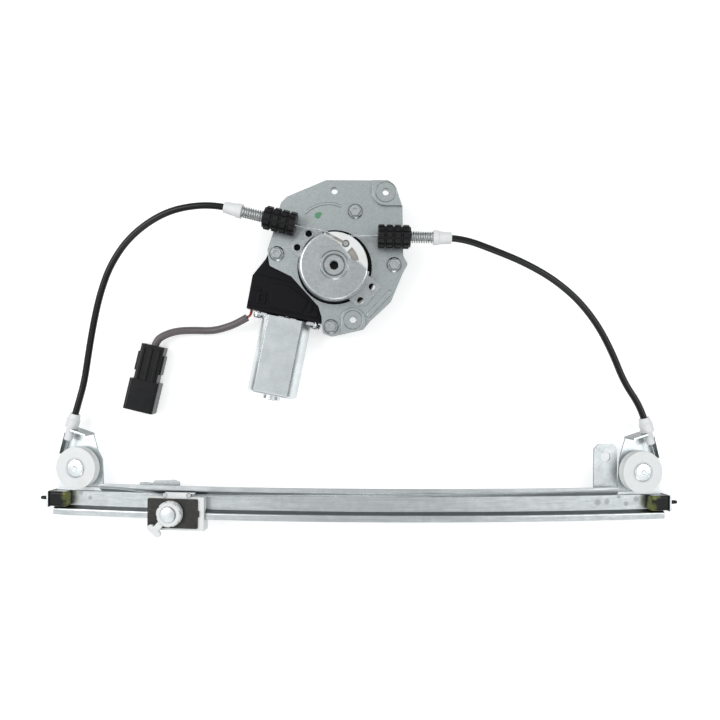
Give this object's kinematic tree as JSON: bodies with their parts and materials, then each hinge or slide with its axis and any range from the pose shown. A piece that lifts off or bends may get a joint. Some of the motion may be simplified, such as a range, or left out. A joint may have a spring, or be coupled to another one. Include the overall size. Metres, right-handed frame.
{
  "type": "window regulator",
  "caption": "Cable window regulator: curved single guide rail with slider and two pulleys, worm gear motor with cable drum on a plate, two sheathed cables and a lead with a plug.",
  "frame": {"origin": "middle of the whole part's footprint, on the surface it lies on; the lead and plug aren't counted", "axes": "+X along the guide rail, towards the end with the mounting tab; +Y up the door, from rail to motor; +Z away from the surface it lies on, towards the side with the drum cover"},
  "size_m": [0.5336, 0.29, 0.0506],
  "materials": {
    "galvanised_rail": "galvanised rolled steel with lengthwise rolling marks",
    "zinc_plate": "zinc-plated pressed steel, light blue-grey",
    "bright_zinc": "bright zinc-plated steel",
    "steel_cable": "stranded galvanised steel cable",
    "dark_carrier": "dark warm grey phosphated steel",
    "white_nylon": "moulded natural white nylon",
    "black_rubber": "black rubber",
    "black_sheath": "glossy black cable conduit",
    "black_housing": "glass-filled black nylon",
    "bright_can": "zinc-plated deep-drawn steel",
    "magnet_ferrite": "dark grey ferrite",
    "bronze_bush": "sintered bronze and tinned brass",
    "carbon": "pressed carbon",
    "ground_steel": "ground and laminated steel",
    "copper": "enamelled copper",
    "grey_sleeve": "grey flexible sleeving",
    "wire_red": "wire insulation",
    "plug_black": "glossy black moulded plastic"
  },
  "bodies": {
    "root": {"guide_rail": "galvanised_rail", "rail_mounting_tab": "galvanised_rail", "left_pulley_bracket": "galvanised_rail", "left_pulley_rivet": "bright_zinc", "left_lower_ferrule": "white_nylon", "left_bumper": "black_rubber", "left_cable_sheath": "black_sheath", "left_rail_cable": "steel_cable", "left_drum_cable": "steel_cable", "left_tensioner_sleeve": "black_rubber", "left_tensioner_spring": "bright_zinc", "right_pulley_bracket": "galvanised_rail", "right_pulley_rivet": "bright_zinc", "right_lower_ferrule": "white_nylon", "right_bumper": "black_rubber", "right_cable_sheath": "black_sheath", "right_rail_cable": "steel_cable", "right_drum_cable": "steel_cable", "right_tensioner_sleeve": "black_rubber", "right_tensioner_spring": "bright_zinc", "motor_plate": "zinc_plate", "plate_weld_nuts": "zinc_plate", "housing_screws": "bright_zinc", "drum_cover": "zinc_plate", "cover_eyelets": "bright_zinc", "gear_housing": "black_housing", "gear_housing_cover": "black_housing", "housing_seal": "black_rubber", "motor_can": "bright_can", "can_screws": "bright_zinc", "motor_magnets": "magnet_ferrite", "shaft_bushes": "bronze_bush", "brush_holder": "black_housing", "carbon_brushes": "carbon", "lead_sleeve": "grey_sleeve", "lead_wires": "wire_red", "plug_housing": "plug_black", "plug_terminals": "bronze_bush"},
    "slider": {"slider_shoe": "white_nylon", "carrier_plate": "dark_carrier", "slider_leaf": "bright_zinc", "leaf_rivets": "bright_zinc", "left_shoe_nipple": "steel_cable", "right_shoe_nipple": "steel_cable"},
    "knob": {"lock_knob": "white_nylon", "knob_clip": "bright_zinc"},
    "left_wheel": {"left_pulley": "white_nylon"},
    "right_wheel": {"right_pulley": "white_nylon"},
    "drum": {"cable_drum": "white_nylon", "drum_nipple": "steel_cable", "output_shaft": "bright_zinc", "worm_wheel": "white_nylon"},
    "armature": {"armature_shaft": "ground_steel", "armature_core": "ground_steel", "armature_windings": "copper", "commutator": "copper"},
    "left_adjuster": {"left_upper_ferrule": "white_nylon"},
    "right_adjuster": {"right_upper_ferrule": "white_nylon"}
  },
  "joints": [
    {"name": "slider_travel", "type": "hinge", "parent": "root", "child": "slider", "pos_m": [0, -0.1175, -1.3746], "axis": [0, 1, 0], "range_deg": [-2.85, 14.95], "deforming": ["left_rail_cable", "right_rail_cable"]},
    {"name": "knob_turn", "type": "hinge", "parent": "slider", "child": "knob", "pos_m": [-0.1529, -0.1256, 0.02782], "axis": [-0.1052, 0, 0.9944], "range_deg": [0, 90]},
    {"name": "left_pulley_spin", "type": "hinge", "parent": "root", "child": "left_wheel", "pos_m": [-0.23373, -0.0911, 0.01326], "axis": [-0.1661, 0, 0.9861], "continuous": true},
    {"name": "right_pulley_spin", "type": "hinge", "parent": "root", "child": "right_wheel", "pos_m": [0.23373, -0.0911, 0.01326], "axis": [0.1661, 0, 0.9861], "continuous": true},
    {"name": "drum_spin", "type": "hinge", "parent": "root", "child": "drum", "pos_m": [-0.021, 0.07465, 0.039], "axis": [0, 0, 1], "continuous": true},
    {"name": "armature_spin", "type": "hinge", "parent": "root", "child": "armature", "pos_m": [-0.05143, 0.08057, 0.0156], "axis": [-0.1908, -0.9816, 0], "continuous": true},
    {"name": "left_adjuster_slide", "type": "slide", "parent": "root", "child": "left_adjuster", "axis": [-0.9724, 0.2334, 0], "range_m": [-0.004, 0], "stiffness_N_per_m": 2500, "springref_m": 0.004, "deforming": ["left_tensioner_spring", "left_cable_sheath"]},
    {"name": "right_adjuster_slide", "type": "slide", "parent": "root", "child": "right_adjuster", "axis": [0.9998, -0.0175, 0], "range_m": [-0.004, 0], "stiffness_N_per_m": 2500, "springref_m": 0.004, "deforming": ["right_tensioner_spring", "right_cable_sheath"]}
  ],
  "couplings": [
    {"joint": "drum_spin", "follows": "slider_travel", "ratio": 57.918},
    {"joint": "armature_spin", "follows": "slider_travel", "ratio": -3475.1},
    {"joint": "left_pulley_spin", "follows": "slider_travel", "ratio": 90.8},
    {"joint": "right_pulley_spin", "follows": "slider_travel", "ratio": 90.8}
  ]
}
